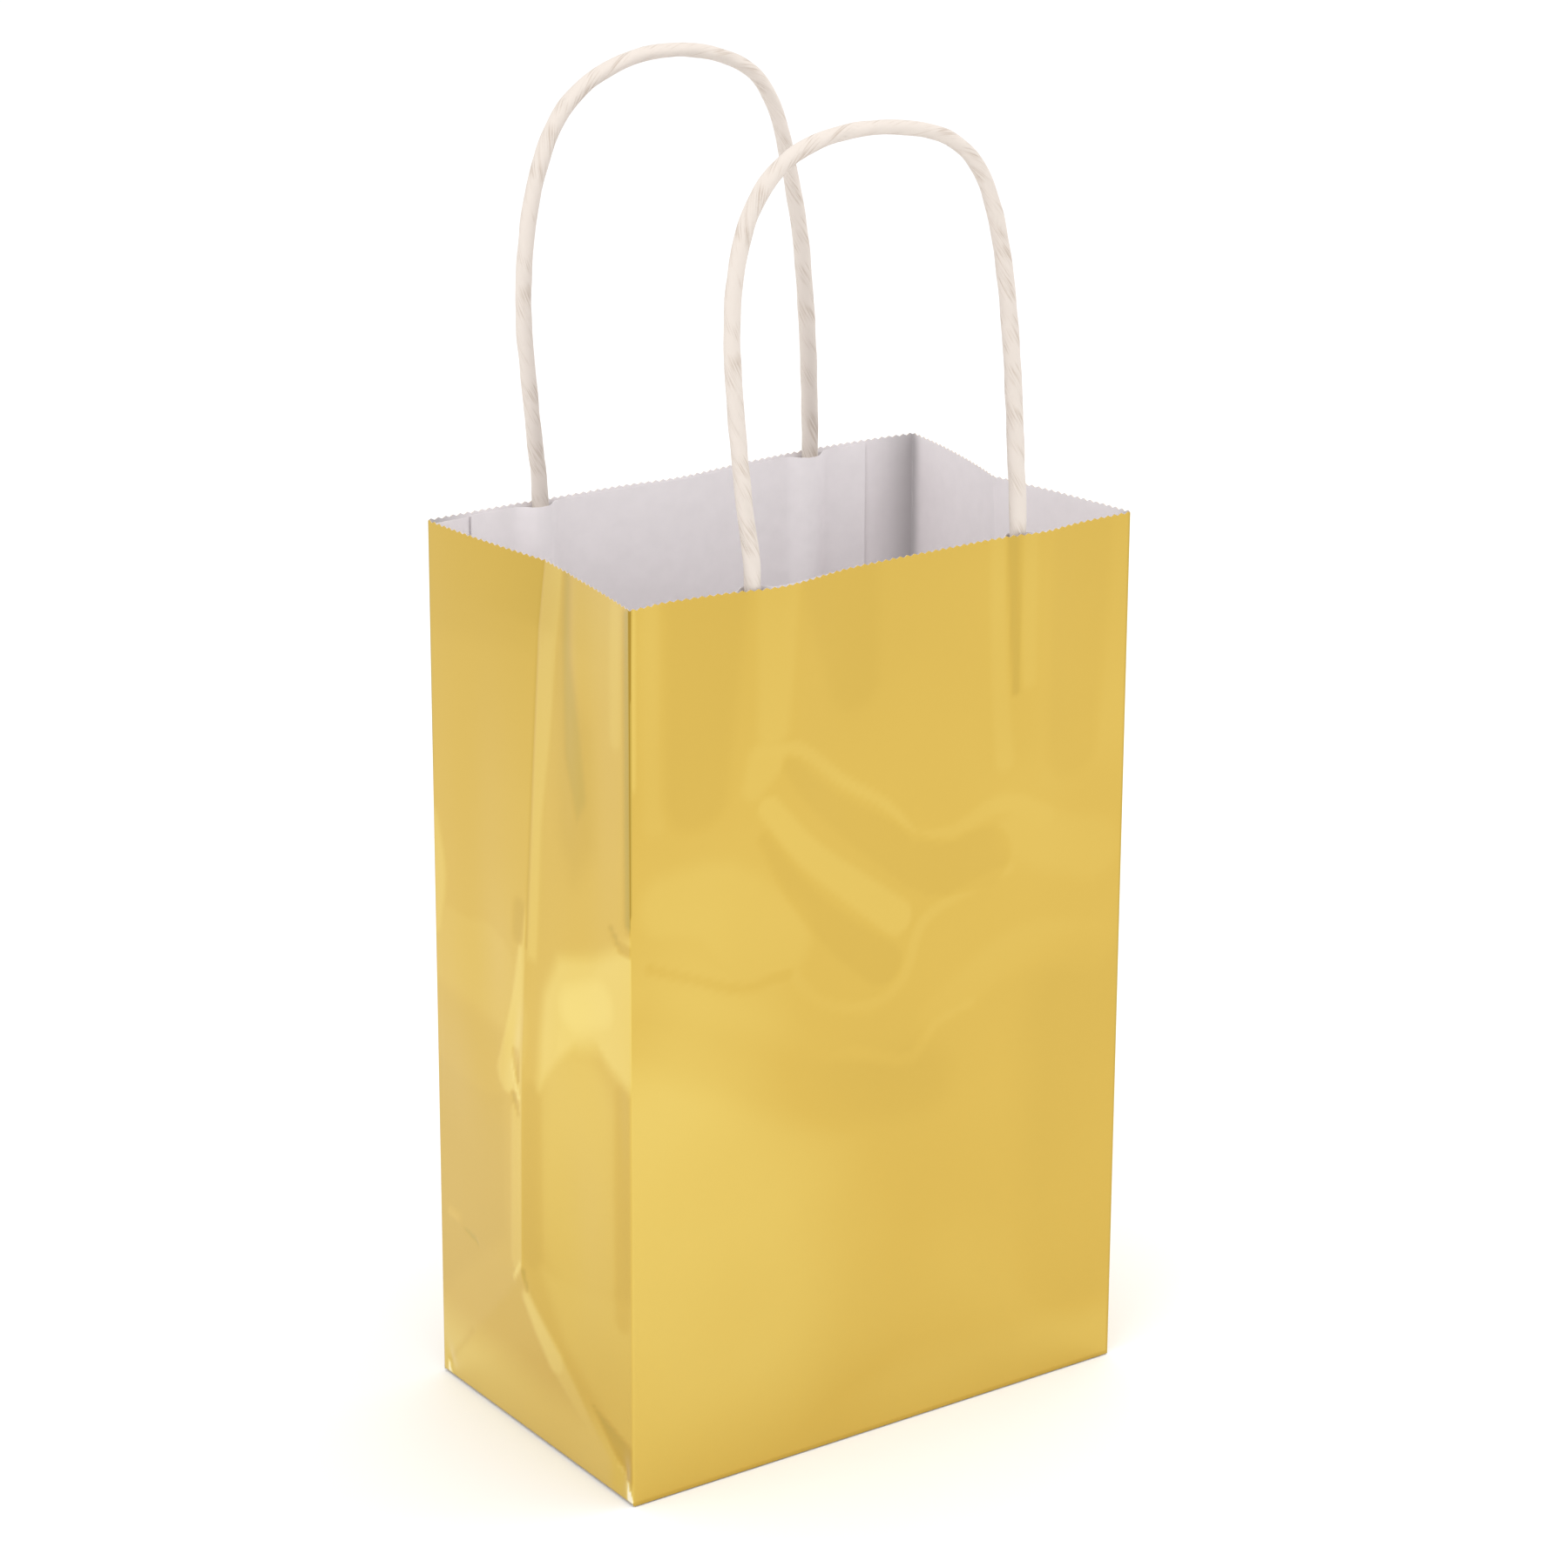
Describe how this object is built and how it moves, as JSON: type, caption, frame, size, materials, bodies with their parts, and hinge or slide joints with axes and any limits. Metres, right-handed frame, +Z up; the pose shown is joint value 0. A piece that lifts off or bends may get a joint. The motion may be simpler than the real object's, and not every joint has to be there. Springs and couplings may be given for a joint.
{
  "type": "gift bag",
  "caption": "Small open-topped paper gift bag with folding side gussets, a flat envelope base and two twisted-paper cord handles.",
  "frame": {"origin": "middle of the base, on the ground", "axes": "+Z up, +X to the right along the front panel, +Y from the front panel to the back panel"},
  "size_m": [0.133, 0.082, 0.3079],
  "materials": {
    "gold_foil_paper": "gloss",
    "white_paper": "matte",
    "twisted_paper_cord": "matte"
  },
  "bodies": {
    "front_wall": {"front_panel": "gold_foil_paper", "front_backing_strip": "white_paper", "front_cover_strip": "white_paper", "front_handle_end_left": "twisted_paper_cord", "front_handle_end_right": "twisted_paper_cord", "bottom_flap_front": "gold_foil_paper", "bottom_flap_back": "gold_foil_paper", "bottom_tuck_left": "white_paper", "bottom_tuck_right": "white_paper"},
    "left_front_gusset": {"left_gusset_front": "gold_foil_paper"},
    "left_rear_gusset": {"left_gusset_rear": "gold_foil_paper"},
    "back_wall": {"back_panel": "gold_foil_paper", "side_seam_flap": "white_paper", "back_backing_strip": "white_paper", "back_cover_strip": "white_paper", "back_handle_end_left": "twisted_paper_cord", "back_handle_end_right": "twisted_paper_cord"},
    "right_front_gusset": {"right_gusset_front": "gold_foil_paper"},
    "right_rear_gusset": {"right_gusset_rear": "gold_foil_paper"},
    "front_handle_legs": {"front_handle_leg_left": "twisted_paper_cord", "front_handle_leg_right": "twisted_paper_cord"},
    "front_handle_top": {"front_handle_arch": "twisted_paper_cord"},
    "back_handle_legs": {"back_handle_leg_left": "twisted_paper_cord", "back_handle_leg_right": "twisted_paper_cord"},
    "back_handle_top": {"back_handle_arch": "twisted_paper_cord"}
  },
  "joints": [
    {"name": "gusset_fold", "type": "hinge", "parent": "front_wall", "child": "left_front_gusset", "pos_m": [-0.0663, -0.0408, 0.104], "axis": [0, 0, -1], "range_deg": [0, 70]},
    {"name": "left_middle_crease", "type": "hinge", "parent": "left_front_gusset", "child": "left_rear_gusset", "pos_m": [-0.0665, 0, 0.104], "axis": [0, 0, 1], "range_deg": [0, 140]},
    {"name": "back_left_crease", "type": "hinge", "parent": "left_rear_gusset", "child": "back_wall", "pos_m": [-0.0663, 0.0408, 0.104], "axis": [0, 0, -1], "range_deg": [0, 70]},
    {"name": "front_right_crease", "type": "hinge", "parent": "front_wall", "child": "right_front_gusset", "pos_m": [0.0663, -0.0408, 0.104], "axis": [0, 0, 1], "range_deg": [0, 70]},
    {"name": "right_middle_crease", "type": "hinge", "parent": "right_front_gusset", "child": "right_rear_gusset", "pos_m": [0.0665, 0, 0.104], "axis": [0, 0, -1], "range_deg": [0, 140]},
    {"name": "front_handle_tilt", "type": "hinge", "parent": "front_wall", "child": "front_handle_legs", "pos_m": [0, -0.0385, 0.211], "axis": [1, 0, 0], "range_deg": [-16, 100]},
    {"name": "front_handle_bend", "type": "hinge", "parent": "front_handle_legs", "child": "front_handle_top", "pos_m": [0, -0.0385, 0.249], "axis": [1, 0, 0], "range_deg": [-8, 30]},
    {"name": "back_handle_tilt", "type": "hinge", "parent": "back_wall", "child": "back_handle_legs", "pos_m": [0, 0.0385, 0.211], "axis": [-1, 0, 0], "range_deg": [-16, 100]},
    {"name": "back_handle_bend", "type": "hinge", "parent": "back_handle_legs", "child": "back_handle_top", "pos_m": [0, 0.0385, 0.249], "axis": [-1, 0, 0], "range_deg": [-8, 30]}
  ],
  "couplings": [
    {"joint": "left_middle_crease", "follows": "gusset_fold", "ratio": 2},
    {"joint": "back_left_crease", "follows": "gusset_fold", "ratio": 1},
    {"joint": "front_right_crease", "follows": "gusset_fold", "ratio": 1},
    {"joint": "right_middle_crease", "follows": "gusset_fold", "ratio": 2}
  ]
}
